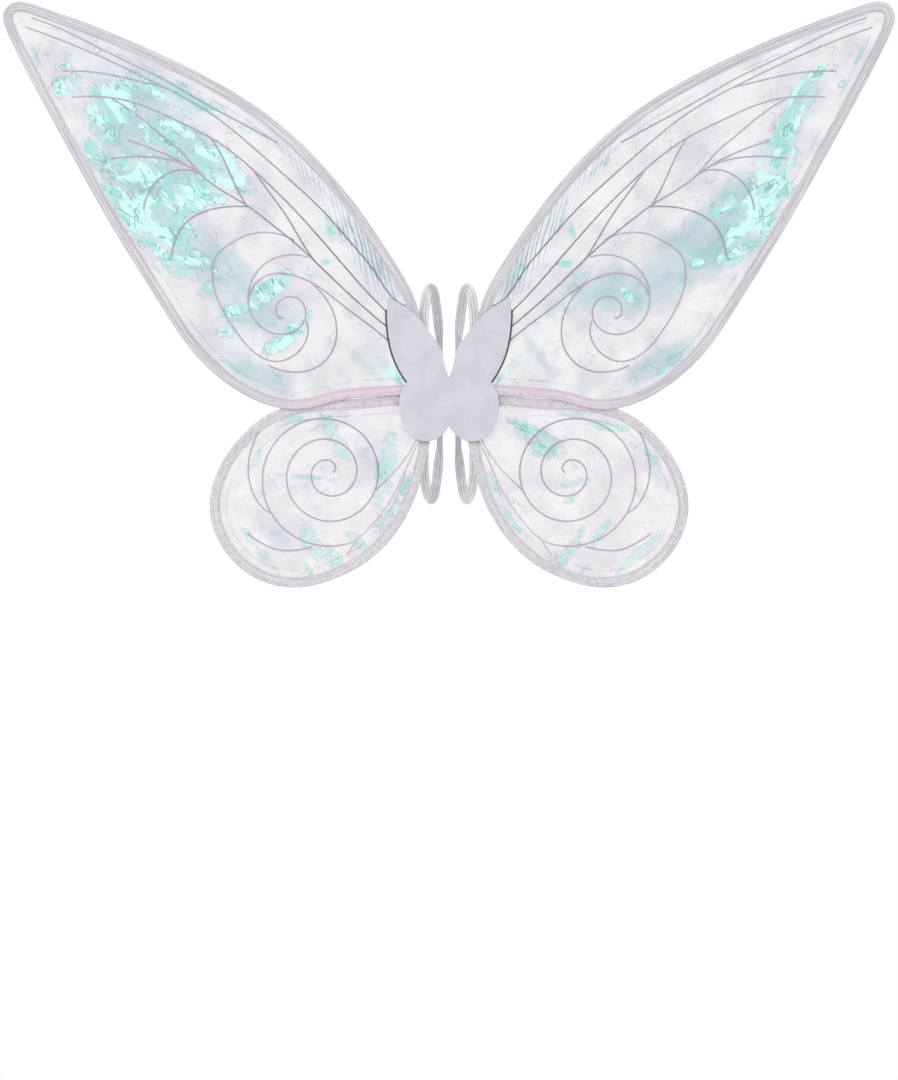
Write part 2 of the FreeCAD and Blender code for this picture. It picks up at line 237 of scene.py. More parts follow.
def crinkle(points, film_rim, seed):
    """How far the film stands behind its flat middle at each (x, z) point.

    It is creased all over and calm at its edge.
    """
    x, z = points[:, 0], points[:, 1]
    height = np.zeros(len(points))
    for i, (size, depth) in enumerate(CREASES):
        value = noise(x + 0.35 * z, z - 0.3 * x, size, seed + i)
        height += depth * (0.5 - np.abs(2 * value - 1))
    return height * smooth_step(distance_to(points, film_rim), CALM_EDGE, CALM_REACH)


# ---------------------------------------------------------------- meshes

def new_object(name, points, faces, attributes=None):
    """A smooth mesh object from points in mm. Its rest positions and the given values are kept on it."""
    mesh = bpy.data.meshes.new(name)
    mesh.from_pydata([tuple(p * MM for p in point) for point in points], [], faces)
    mesh.update()
    mesh.shade_smooth()
    rest = mesh.attributes.new("rest", "FLOAT_VECTOR", "POINT")
    rest.data.foreach_set("vector", np.asarray(points, np.float32).ravel())
    for key, values in (attributes or {}).items():
        attribute = mesh.attributes.new(key, "FLOAT", "POINT")
        attribute.data.foreach_set("value", np.asarray(values, np.float32))
    piece = bpy.data.objects.new(name, mesh)
    bpy.context.scene.collection.objects.link(piece)
    return piece


def finish_piece(piece, material, slot, body, *nodes):
    """Gives a piece its material, ties it to its body, and hides the CAD nodes that it stands for."""
    piece.data.materials.clear()
    piece.data.materials.append(material)
    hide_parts(*nodes)
    if body:
        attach(piece, body)
    return piece


def tube_faces(rings, around, closed):
    """Quads for rings of points, each with that many points around."""
    faces = []
    for i in range(rings if closed else rings - 1):
        here, there = i * around, (i + 1) % rings * around
        for j in range(around):
            k = (j + 1) % around
            faces.append((here + j, here + k, there + k, there + j))
    if not closed:
        faces.append(tuple(range(around - 1, -1, -1)))
        faces.append(tuple((rings - 1) * around + j for j in range(around)))
    return faces


# ---------------------------------------------------------------- shaders

class Shader:
    """A material, with short ways to add its nodes.

    Values go in as numbers, colours or other nodes' sockets.
    """

    def __init__(self, name):
        self.material = bpy.data.materials.new(name)
        self.material.use_nodes = True
        self.tree = self.material.node_tree
        self.surface = self.tree.nodes["Principled BSDF"]

    def put(self, socket, value):
        if isinstance(value, bpy.types.NodeSocket):
            self.tree.links.new(value, socket)
        elif isinstance(value, tuple) and len(value) == 3 and socket.type == "RGBA":
            socket.default_value = (*value, 1.0)
        else:
            socket.default_value = value

    def node(self, kind, output=0, settings=None, **inputs):
        """One output of a new node. An input's name has _ for each space."""
        node = self.tree.nodes.new("ShaderNode" + kind)
        for key, value in (settings or {}).items():
            setattr(node, key, value)
        for key, value in inputs.items():
            self.put(node.inputs[key.replace("_", " ")], value)
        return node.outputs[output]

    def attribute(self, name, output="Fac"):
        return self.node("Attribute", output, {"attribute_name": name})

    def math(self, operation, a, b=0.0):
        node = self.tree.nodes.new("ShaderNodeMath")
        node.operation = operation
        self.put(node.inputs[0], a)
        self.put(node.inputs[1], b)
        return node.outputs[0]

    def plus(self, a, b):
        return self.math("ADD", a, b)

    def minus(self, a, b):
        return self.math("SUBTRACT", a, b)

    def times(self, a, b):
        return self.math("MULTIPLY", a, b)

    def larger(self, a, b):
        return self.math("MAXIMUM", a, b)

    def off(self, value, middle):
        """How far a value is from the middle."""
        return self.math("ABSOLUTE", self.minus(value, middle))

    def step(self, value, low, high):
        """0 below low, 1 above high and smooth between them."""
        return self.node("MapRange", 0, {"interpolation_type": "SMOOTHSTEP"},
                         Value=value, From_Min=low, From_Max=high)

    def mix(self, factor, a, b):
        node = self.tree.nodes.new("ShaderNodeMix")
        node.data_type = "RGBA"
        for index, value in ((0, factor), (6, a), (7, b)):
            self.put(node.inputs[index], value)
        return node.outputs[2]

    def stretched(self, coordinates, scale):
        return self.node("Mapping", 0, Vector=coordinates, Scale=scale)

    def noise(self, coordinates, size, detail=3.0, distortion=0.0):
        """Noise with features of about that size in the coordinates' units."""
        return self.node("TexNoise", "Fac", Vector=coordinates, Scale=1.0 / size, Detail=detail,
                         Distortion=distortion)

    def bump(self, height, strength, distance):
        """Bump from a height of 0 to 1, which stands for that distance in mm."""
        return self.node("Bump", 0, Height=height, Strength=strength, Distance=distance * MM)

    def set(self, **inputs):
        for key, value in inputs.items():
            self.put(self.surface.inputs[key.replace("_", " ")], value)
        return self.material

    def object_mm(self):
        """The piece's own coordinates in mm, for a CAD node."""
        place = self.node("TexCoord", "Object")
        return self.stretched(place, (1 / MM, 1 / MM, 1 / MM))


def film_material():
    """Clear crinkled film, with painted mint and pale blue sheen in patches where it catches the light, and
    painted shade along its creases, pleats and folds.

    run and span are places in mm along and across the wing. The mint and pale blue sheen attributes say
    where that sheen is painted on the film, and pleat says where it is gathered in short pleats. blush says
    how pinkish it is, which is also how green and torn its painted sheen looks. border is the distance from
    the edge in mm.
    """
    s = Shader("crinkled film")
    rest = s.attribute("rest", "Vector")
    run, span = s.attribute("run"), s.attribute("span")
    grain = s.node("CombineXYZ", 0, X=s.times(run, 0.55), Y=span)
    mint_place, blue_sheen_place = s.attribute("mint"), s.attribute("blue_sheen")

    def ridges(size, width, distortion):
        """Thin winding crease lines, drawn out along the wing."""
        field = s.noise(grain, size, 2.0, distortion=distortion)
        return s.minus(1.0, s.step(s.off(field, 0.5), 0.0, width))

    # Creases and pleats
    long_crease = s.times(ridges(34.0, 0.006, 0.1), s.step(s.noise(rest, 35.0, 2.0), 0.42, 0.6))
    short_crease = s.times(ridges(13.0, 0.009, 0.15), s.step(s.noise(rest, 24.0, 2.0), 0.5, 0.62))
    crease = s.larger(long_crease, s.times(short_crease, 0.7))
    wander = s.times(s.noise(rest, 22.0, 2.0), 3.0)
    from_rim = s.plus(s.attribute("border"), wander)
    rim_line = s.minus(1.0, s.step(s.off(from_rim, 14.5), 0.1, 0.6))
    rim_line = s.times(rim_line, s.step(s.noise(rest, 30.0, 2.0), 0.40, 0.55))

    wave_place = s.node("CombineXYZ", 0, X=span, Y=s.times(run, 0.15))
    hatch = s.node("TexWave", "Fac", Vector=wave_place, Scale=0.21, Distortion=2.5, Detail=1.0)
    hatch_here = s.step(s.noise(rest, 30.0, 2.0), 0.46, 0.62)
    across_pleats = s.minus(s.times(run, 0.56), s.times(span, 0.83))
    pleat_place = s.node("CombineXYZ", 0, X=across_pleats, Y=s.times(run, 0.25))
    pleat_wave = s.node("TexWave", "Fac", Vector=pleat_place, Scale=0.07, Distortion=7.0, Detail=3.0)
    pleat = s.times(s.attribute("pleat"), s.step(pleat_wave, 0.5, 0.85))

    # Painted sheen: where the film flashes mint in the light, with torn edges and a paler fringe
    ragged = s.minus(s.noise(grain, 18.0, 5.0, distortion=0.6), 0.5)
    torn = s.minus(s.noise(rest, 26.0, 3.0, distortion=0.8), 0.5)
    edge = s.plus(s.times(ragged, 1.3), s.times(torn, 1.1))
    green = s.step(s.attribute("blush"), 0.3, 0.7)
    tatter = s.minus(s.noise(rest, 6.0, 4.0, distortion=1.0), 0.5)
    edge = s.plus(edge, s.times(tatter, s.plus(green, 0.8)))
    level = s.plus(mint_place, edge)
    # Gaps in the painted mint sheen, where the pale film shows as painted glints
    glint = s.step(s.noise(grain, 26.0, 5.0, distortion=1.2), 0.52, 0.58)
    mint = s.times(s.step(level, 0.40, 0.62), s.minus(1.0, s.times(glint, 0.75)))
    fringe = s.times(s.step(level, 0.1, 0.6), s.step(mint_place, 0.03, 0.35))
    # Where pale blue sheen is painted on the film, with the same torn edges
    blue_sheen = s.step(s.plus(blue_sheen_place, s.times(edge, 0.4)), 0.08, 0.85)

    # Colour
    cloudy = s.step(s.noise(rest, 48.0, 3.0), 0.38, 0.66)
    milky = s.step(s.noise(grain, 26.0, 4.0), 0.45, 0.65)
    colour = s.mix(cloudy, (0.56, 0.55, 0.63), (0.40, 0.39, 0.48))
    colour = s.mix(s.times(s.attribute("blush"), 0.8), colour, (0.66, 0.56, 0.66))
    # The painted pale blue sheen, in blue and teal
    teal = s.mix(s.step(s.noise(rest, 30.0, 3.0), 0.42, 0.58), (0.34, 0.50, 0.62), (0.26, 0.54, 0.54))
    colour = s.mix(s.times(blue_sheen, 0.9), colour, teal)
    # The paler teal fringe round the painted mint sheen
    colour = s.mix(s.times(fringe, 0.6), colour, (0.34, 0.64, 0.66))
    # Painted shade in the folds of the pleats, dark teal-blue
    colour = s.mix(s.times(pleat, 0.85), colour, (0.14, 0.38, 0.48))
    # The painted mint sheen: lighter where it glows, a painted highlight, greener on the hindwing, and
    # darker teal along its folds, painted shade
    glow = s.step(s.noise(grain, 22.0, 5.0, distortion=1.0), 0.40, 0.56)
    sheen = s.mix(glow, (0.30, 0.71, 0.68), (0.60, 0.98, 0.93))
    sheen = s.mix(s.times(green, 0.75), sheen, (0.36, 0.68, 0.60))
    broad_fold = s.off(s.noise(grain, 22.0, 4.0, distortion=1.4), 0.5)
    fine_fold = s.off(s.noise(rest, 9.0, 4.0, distortion=1.0), 0.5)
    fine_fold = s.times(s.minus(1.0, s.step(fine_fold, 0.0, 0.03)), green)
    fold = s.larger(s.minus(1.0, s.step(broad_fold, 0.0, 0.028)), fine_fold)
    sheen = s.mix(fold, sheen, (0.08, 0.44, 0.39))
    colour = s.mix(mint, colour, sheen)
    # A darker teal line at the folds where the painted mint sheen ends: painted shade
    fold_edge = s.off(level, 0.40)
    fold_edge = s.minus(1.0, s.step(fold_edge, 0.01, 0.05))
    fold_edge = s.times(fold_edge, s.step(s.noise(rest, 14.0, 2.0), 0.42, 0.58))
    fold_edge = s.times(fold_edge, s.step(mint_place, 0.05, 0.3))
    colour = s.mix(s.times(fold_edge, 0.7), colour, (0.14, 0.40, 0.40))
    # Painted shade along the creases, then a patchy darker line a little way in from the film's edge
    colour = s.mix(s.times(crease, 0.5), colour, (0.30, 0.31, 0.36))
    colour = s.mix(s.times(rim_line, 0.6), colour, (0.33, 0.30, 0.37))

    # How much of what is behind the film it hides
    alpha = s.plus(0.31, s.times(cloudy, 0.12))
    alpha = s.minus(alpha, s.times(milky, 0.1))
    blue_sheen_hatch = s.plus(0.22, s.times(hatch, 0.14))
    alpha = s.plus(alpha, s.times(blue_sheen, blue_sheen_hatch))
    alpha = s.plus(alpha, s.times(fringe, 0.2))
    alpha = s.plus(alpha, s.times(crease, 0.25))
    alpha = s.plus(alpha, s.times(rim_line, 0.4))
    alpha = s.plus(alpha, s.times(fold_edge, 0.3))
    alpha = s.plus(alpha, s.times(pleat, 0.35))
    alpha = s.plus(alpha, s.times(s.times(hatch, hatch_here), 0.16))
    opaque = s.minus(0.92, s.times(s.attribute("blush"), 0.5))
    alpha = s.larger(alpha, s.times(mint, opaque))
    alpha = s.math("MINIMUM", alpha, 0.9)

    # Fine relief
    height = s.plus(s.times(crease, 0.5), s.times(s.noise(grain, 9.0, 4.0), 1.6))
    height = s.plus(height, s.times(hatch, 0.1))
    height = s.plus(height, s.times(pleat, 0.4))
    return s.set(Base_Color=colour, Alpha=alpha, Normal=s.bump(height, 0.6, 1.2), Roughness=0.22,
                 Coat_Weight=0.4, Coat_Roughness=0.08)


def binding_material():
    """Thin stretch fabric gathered along the tape, with painted shade in its gathers, along its seam and
    beside the wire.

    across and along are places on the tape in mm. fleck and blush say how mottled and how pink it is.
    """
    s = Shader("gathered edge fabric")
    across = s.attribute("across")
    along = s.attribute("along")
    rest = s.attribute("rest", "Vector")
    place = s.node("CombineXYZ", 0, X=along, Y=across)
    threads = s.noise(s.stretched(place, (0.04, 1.6, 1.0)), 1.0, 4.0)
    gathers = s.noise(s.stretched(place, (0.012, 0.55, 1.0)), 1.0, 3.0)
    # Darker where the gathers sink: painted shade in their grooves
    lines = s.step(gathers, 0.36, 0.62)
    colour = s.mix(lines, (0.52, 0.50, 0.55), (0.78, 0.755, 0.80))
    streak = s.step(s.noise(s.stretched(place, (0.008, 0.4, 1.0)), 1.0, 2.0), 0.52, 0.66)
    colour = s.mix(s.times(streak, 0.55), colour, (0.72, 0.60, 0.67))
    fleck = s.step(s.noise(rest, 2.8, 4.0, distortion=1.2), 0.44, 0.58)
    flecked = s.mix(fleck, (0.66, 0.645, 0.68), (0.90, 0.885, 0.91))
    colour = s.mix(s.times(s.attribute("fleck"), 0.6), colour, flecked)
    colour = s.mix(s.times(s.attribute("blush"), 0.75), colour, (0.81, 0.67, 0.755))
    # Painted shade in the seam's groove and beside the wire
    seam = s.off(across, 9.0)
    seam = s.minus(1.0, s.step(seam, 0.15, 0.5))
    wire_line = s.off(across, 3.6)
    wire_line = s.minus(1.0, s.step(wire_line, 0.1, 0.45))
    colour = s.mix(s.times(s.larger(seam, wire_line), 0.3), colour, (0.40, 0.37, 0.42))
    colour = s.mix(s.times(s.step(threads, 0.5, 0.8), 0.3), colour, (0.86, 0.84, 0.90))
    weave = s.node("TexWave", "Fac", Vector=s.stretched(place, (1.0, 0.2, 1.0)), Scale=0.9, Distortion=1.5)
    height = s.plus(s.times(gathers, 2.2), s.times(threads, 0.8))
    height = s.plus(height, s.times(weave, 0.1))
    height = s.minus(height, s.times(seam, 0.6))
    rough = s.plus(0.38, s.times(s.noise(rest, 6.0), 0.2))
    return s.set(Base_Color=colour, Roughness=rough, Normal=s.bump(height, 0.7, 0.8),
                 Sheen_Weight=0.25, Sheen_Roughness=0.4)


def felt_material():
    """Pressed felt: matted fibres, a little mottled."""
    s = Shader("pressed felt")
    rest = s.attribute("rest", "Vector")
    fibre = s.noise(s.stretched(rest, (1.0, 1.0, 2.2)), 0.9, 6.0, distortion=1.2)
    fluff = s.noise(rest, 2.6, 5.0, distortion=0.8)
    mottle = s.noise(rest, 22.0, 3.0)
    colour = s.mix(s.step(mottle, 0.35, 0.65), (0.635, 0.63, 0.71), (0.70, 0.695, 0.77))
    colour = s.mix(s.times(s.step(fibre, 0.5, 0.75), 0.3), colour, (0.76, 0.755, 0.82))
    colour = s.mix(s.times(s.step(fluff, 0.55, 0.75), 0.2), colour, (0.50, 0.49, 0.60))
    height = s.plus(fibre, s.times(fluff, 1.2))
    return s.set(Base_Color=colour, Roughness=0.95, Normal=s.bump(height, 0.55, 0.6),
                 Sheen_Weight=0.4, Sheen_Roughness=0.6, Specular_IOR_Level=0.2)


def elastic_material():
    """Ribbed elastic: knitted ribs with painted shade in the grooves between them. across runs from 0 to 1.
    """
    s = Shader("ribbed elastic")
    across = s.attribute("across")
    along = s.attribute("along")
    phase = s.times(across, STRAP_RIBS)
    in_rib = s.off(s.math("FRACT", phase), 0.5)
    shaded_groove = s.step(in_rib, 0.3, 0.5)
    place = s.node("CombineXYZ", 0, X=along, Y=s.times(across, STRAP_WIDTH))
    knit = s.node("TexWave", "Fac", Vector=place, Scale=0.42, Distortion=1.0, Detail=1.0)
    patchy = s.noise(place, 14.0, 3.0)
    colour = s.mix(s.step(patchy, 0.4, 0.62), (0.80, 0.78, 0.82), (0.93, 0.91, 0.94))
    rosy = s.step(s.noise(s.stretched(place, (0.3, 1.0, 1.0)), 9.0, 2.0), 0.55, 0.7)
    colour = s.mix(s.times(rosy, 0.45), colour, (0.66, 0.54, 0.62))
    # Painted shade in the grooves between the ribs
    colour = s.mix(s.times(shaded_groove, 0.7), colour, (0.32, 0.30, 0.33))
    colour = s.mix(s.times(knit, 0.15), colour, (0.85, 0.83, 0.86))
    height = s.plus(s.times(knit, 0.5), s.noise(place, 0.8, 4.0))
    height = s.minus(height, s.times(shaded_groove, 1.0))
    return s.set(Base_Color=colour, Roughness=0.7, Normal=s.bump(height, 0.6, 0.4),
                 Sheen_Weight=0.3, Sheen_Roughness=0.5)


def vein_material(name, dark, light):
    """A line of glitter glue: fine bright grains in a darker bead."""
    s = Shader(name)
    place = s.attribute("rest", "Vector")
    grains = s.node("TexVoronoi", "Color", Vector=place, Scale=4.0)
    grain = s.node("SeparateColor", 0, Color=grains)
    bright = s.step(grain, 0.8, 0.9)
    drift = s.step(s.attribute("reach"), 0.15, 0.75)
    colour = s.mix(drift, dark, light)
    colour = s.mix(s.times(s.step(s.noise(place, 5.0), 0.45, 0.7), 0.4), colour, light)
    colour = s.mix(s.times(s.attribute("pale"), 0.95), colour, (0.76, 0.68, 0.74))
    colour = s.mix(s.times(bright, 0.3), colour, (0.80, 0.78, 0.86))
    rough = s.minus(0.5, s.times(bright, 0.35))
    height = s.plus(grain, s.noise(place, 1.2, 3.0))
    return s.set(Base_Color=colour, Roughness=rough, Metallic=s.times(bright, 0.4),
                 Normal=s.bump(height, 0.5, 0.25))


def thread_material(name, dark, light, twist):
    """Twisted thread or cord on a CAD node, with turns of about twist mm."""
    s = Shader(name)
    place = s.object_mm()
    plies = s.node("TexWave", "Fac", {"bands_direction": "DIAGONAL"}, Vector=place, Scale=0.32 / twist,
                   Distortion=0.8, Detail=2.0)
    fuzz = s.noise(place, 0.5, 4.0)
    colour = s.mix(plies, dark, light)
    colour = s.mix(s.times(s.step(fuzz, 0.5, 0.8), 0.3), colour, light)
    height = s.plus(plies, s.times(fuzz, 0.5))
    return s.set(Base_Color=colour, Roughness=0.8, Normal=s.bump(height, 0.8, 0.3),
                 Sheen_Weight=0.3, Sheen_Roughness=0.5)


def metal_material(name, colour, rough):
    """Drawn or crimped metal on a CAD node, with fine draw marks."""
    s = Shader(name)
    place = s.object_mm()
    marks = s.noise(place, 0.6, 5.0)
    stain = s.step(s.noise(place, 9.0), 0.5, 0.7)
    shade = tuple(0.7 * c for c in colour)
    tone = s.mix(s.times(stain, 0.6), colour, shade)
    roughness = s.plus(rough, s.times(marks, 0.2))
    return s.set(Base_Color=tone, Metallic=1.0, Roughness=roughness, Normal=s.bump(marks, 0.3, 0.1))


FLOOR_DROP = 0.75
FLOOR_RADIUS = 1.5


def floor_material():
    """Pale floor that fades into the white surround at its rim."""
    s = Shader("studio floor")
    place = s.node("TexCoord", "Object")
    grain = s.noise(place, 0.05, 3.0)
    reach = s.node("VectorMath", "Value", {"operation": "LENGTH"}, Vector=place)
    solid = s.minus(1.0, s.step(reach, 0.3 * FLOOR_RADIUS, 0.98 * FLOOR_RADIUS))
    return s.set(Base_Color=s.mix(grain, (0.86, 0.86, 0.87), (0.90, 0.90, 0.90)), Roughness=0.8, Alpha=solid)


MATERIALS = {
    "film": film_material(),
    "edge_binding": binding_material(),
    "felt": felt_material(),
    "strap_elastic": elastic_material(),
    "dark_vein": vein_material("dark glitter", (0.26, 0.24, 0.28), (0.58, 0.52, 0.61)),
    "spiral_vein": vein_material("lavender glitter", (0.42, 0.375, 0.45), (0.56, 0.48, 0.58)),
    "thread": thread_material("sewing thread", (0.64, 0.58, 0.65), (0.82, 0.78, 0.84), 0.9),
    "edge_cord": thread_material("dark cord", (0.015, 0.015, 0.02), (0.10, 0.10, 0.12), 1.4),
    "wire": metal_material("drawn steel", (0.56, 0.56, 0.58), 0.25),
    "wire_sleeve": metal_material("crimped aluminium", (0.78, 0.78, 0.80), 0.3),
}


# ---------------------------------------------------------------- the wings

# Painted sheen on the film: mint in the first table, pale blue in the second. Each patch is (x, z, half
# length, half width, angle in degrees, strength), with x measured outwards from the centre line
MINT = {
    ("right", "forewing"): [
        (393, 350, 12, 7, 50, 1.0), (376, 324, 24, 10, 62, 1.05), (358, 290, 22, 13, 62, 1.0),
        (350, 262, 22, 20, 40, 0.95), (339, 224, 32, 20, 60, 1.1), (320, 184, 34, 22, 58, 1.1),
        (303, 160, 18, 14, 40, 0.9), (296, 205, 16, 20, 0, 0.55), (266, 147, 9, 6, 20, 0.7),
        (190, 114, 11, 4, -50, 1.1), (236, 41, 16, 3, 42, 0.9),
        (56, 28, 14, 1.6, 62, 1.0), (62, 33, 13, 1.6, 62, 1.0), (69, 37, 11, 1.6, 62, 1.0),
        (122, 200, 16, 3, 75, 0.75), (131, 182, 9, 3, -75, 0.7), (77, 138, 10, 2, 68, 0.6),
        (123, 147, 8, 4, 0, 0.65), (142, 137, 9, 2.5, 20, 0.6), (208, 292, 9, 2, 20, 0.7),
        (126, 98, 8, 4, 0, 0.65), (438, 372, 14, 2, 62, 0.8), (418, 338, 6, 3, 40, 0.75),
        (92, 165, 11, 2, 62, 0.6), (345, 368, 9, 2, 30, 0.7), (168, 255, 9, 2.5, 50, 0.6),
    ],
    ("left", "forewing"): [
        (405, 336, 17, 13, 0, 0.8), (410, 357, 10, 4, 0, 0.8), (293, 327, 50, 13, 20, 0.95),
        (360, 308, 24, 34, 20, 0.85), (254, 263, 28, 18, 25, 1.0), (330, 245, 38, 18, 15, 0.9),
        (270, 224, 46, 18, -8, 1.0), (307, 184, 46, 24, 62, 1.05), (349, 204, 32, 14, 62, 1.0),
        (287, 157, 34, 12, 20, 0.9), (377, 266, 18, 8, 70, 0.9), (300, 285, 34, 16, 25, 0.75),
        (192, 120, 26, 9, -37, 1.1), (229, 96, 20, 8, -30, 1.0), (177, 66, 28, 8, -37, 1.1),
        (149, 91, 4, 9, 0, 0.7), (256, 122, 14, 6, -35, 0.75), (240, 75, 11, 7, 0, 0.8),
        (56, 28, 14, 1.6, 62, 1.0), (62, 33, 13, 1.6, 62, 1.0), (69, 37, 11, 1.6, 62, 1.0),
        (127, 190, 20, 4, 80, 0.7), (130, 150, 8, 4, 0, 0.7),
        (147, 137, 8, 3, 20, 0.65), (208, 288, 16, 4, 20, 0.75), (371, 372, 8, 3, 40, 0.7),
        (440, 368, 16, 2, 62, 0.8), (92, 160, 14, 2.5, 62, 0.6), (236, 41, 14, 3, 42, 0.8),
    ],
    ("right", "hindwing"): [
        (88, -30, 26, 5, -24, 0.85), (100, -50, 14, 9, -30, 0.7), (171, -26, 18, 5, -12, 0.9),
        (216, -60, 12, 5, -58, 0.9), (188, -42, 12, 3, -35, 0.7), (140, -86, 22, 4, 8, 0.8),
        (130, -104, 10, 4, 40, 0.6), (139, -141, 13, 3, 62, 0.9), (162, -139, 16, 4, 58, 0.95),
        (130, -158, 12, 7, 45, 0.95), (200, -163, 28, 5, 42, 1.0), (119, -173, 12, 4, 40, 0.8),
        (146, -176, 8, 2, 50, 0.8), (47, -86, 14, 4, -55, 0.85), (66, -126, 16, 4, -56, 0.85),
        (214, -172, 26, 3, 35, 0.6), (120, -12, 20, 3, -5, 0.6),
    ],
    ("left", "hindwing"): [
        (67, -71, 40, 8, 100, 1.05), (121, -39, 26, 8, 62, 0.95), (166, -19, 14, 5, -10, 0.8),
        (200, -160, 28, 4, 52, 0.95), (124, -167, 15, 7, 60, 0.85), (147, -150, 24, 8, 60, 0.7),
        (152, -80, 30, 3, 5, 0.7), (71, -124, 14, 5, -60, 0.8), (96, -150, 18, 5, 40, 0.75),
        (206, -62, 12, 4, -60, 0.7), (150, -178, 10, 3, 60, 0.8), (52, -100, 24, 4, -62, 0.65),
    ],
}
# Patches of painted pale blue sheen
BLUE_SHEEN = {
    ("right", "forewing"): [
        (304, 208, 36, 24, 62, 1.1), (262, 160, 66, 32, 42, 0.95), (220, 130, 66, 30, 20, 0.8),
        (182, 122, 60, 22, 12, 0.8), (222, 40, 44, 13, 32, 0.85), (120, 100, 20, 12, 0, 0.5),
        (70, 140, 34, 12, 62, 0.55), (380, 320, 40, 20, 62, 0.5), (95, 50, 34, 5, -55, 0.5),
    ],
    ("left", "forewing"): [
        (320, 270, 110, 62, 60, 0.75), (255, 150, 50, 24, 30, 0.9), (210, 100, 54, 30, 30, 0.7),
        (205, 30, 40, 16, 30, 0.75), (70, 140, 34, 12, 62, 0.55), (90, 40, 30, 6, 45, 0.5),
        (290, 190, 60, 30, 60, 0.6),
    ],
    ("right", "hindwing"): [
        (95, -40, 36, 14, -30, 0.6), (120, -165, 24, 10, 30, 0.5), (120, -85, 36, 10, 10, 0.45),
        (220, -80, 34, 8, -75, 0.4), (60, -110, 40, 8, -62, 0.45),
    ],
    ("left", "hindwing"): [
        (80, -55, 44, 18, 60, 0.45), (150, -90, 60, 24, 20, 0.3), (190, -140, 30, 14, 45, 0.5),
        (60, -110, 40, 10, -62, 0.5),
    ],
}
PLEATS = {
    "forewing": [(92, 165, 62, 13, 59, 1.0), (150, 244, 40, 8, 48, 0.55)],
    "hindwing": [(70, -150, 30, 6, -50, 0.35)],
}
WING_LEAN = {"forewing": 42, "hindwing": -40}
PATCH_FALL = 0.7


def patches(points, marks):
    """The strongest of the soft oval patches at each (x, z) point."""
    x, z = np.abs(points[:, 0]), points[:, 1]
    value = np.zeros(len(points))
    for cx, cz, length, width, angle, strength in marks:
        cos, sin = math.cos(math.radians(angle)), math.sin(math.radians(angle))
        u = ((x - cx) * cos + (z - cz) * sin) / length
        v = ((z - cz) * cos - (x - cx) * sin) / width
        value = np.maximum(value, strength * np.exp(-PATCH_FALL * np.hypot(u, v) ** 3))
    return value


def film(side_name, wing, body):
    """The film of one wing: a fine crinkled sheet that runs under the edge tape all round."""
    node = f"{side_name}_{wing}_film"
    edge = rim(node)
    low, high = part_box(node)
    level = (low.y + high.y) / 2 / MM
    xs = np.arange(edge[:, 0].min(), edge[:, 0].max(), FILM_STEP)
    zs = np.arange(edge[:, 1].min(), edge[:, 1].max(), FILM_STEP)
    grid_x, grid_z = np.meshgrid(xs, zs, indexing="ij")
    grid = np.column_stack([grid_x.ravel(), grid_z.ravel()])
    keep = inside(grid, edge)
    number = np.full(len(grid), -1)
    number[keep] = np.arange(keep.sum())
    number = number.reshape(grid_x.shape)
    faces = []
    for i in range(len(xs) - 1):
        for j in range(len(zs) - 1):
            corners = (number[i, j], number[i + 1, j], number[i + 1, j + 1], number[i, j + 1])
            if min(corners) >= 0:
                faces.append(tuple(int(c) for c in corners))
    points = grid[keep]
    depth = level + crinkle(points, edge, SEEDS[side_name])
    side = SIDES[side_name]
    lean = math.radians(WING_LEAN[wing])
    outwards, up = points[:, 0] * side, points[:, 1]
    values = {
        "mint": patches(points, MINT[side_name, wing]),
        "blue_sheen": patches(points, BLUE_SHEEN[side_name, wing]),
        "pleat": patches(points, PLEATS[wing]),
        "border": distance_to(points, edge),
        "blush": np.full(len(points), FILM_BLUSH[wing]),
        "run": outwards * math.cos(lean) + up * math.sin(lean),
        "span": up * math.cos(lean) - outwards * math.sin(lean),
    }
    piece = new_object(f"{node}_sheet", np.column_stack([points[:, 0], depth, points[:, 1]]), faces, values)
    finish_piece(piece, MATERIALS["film"], "film", body, node)
    return edge


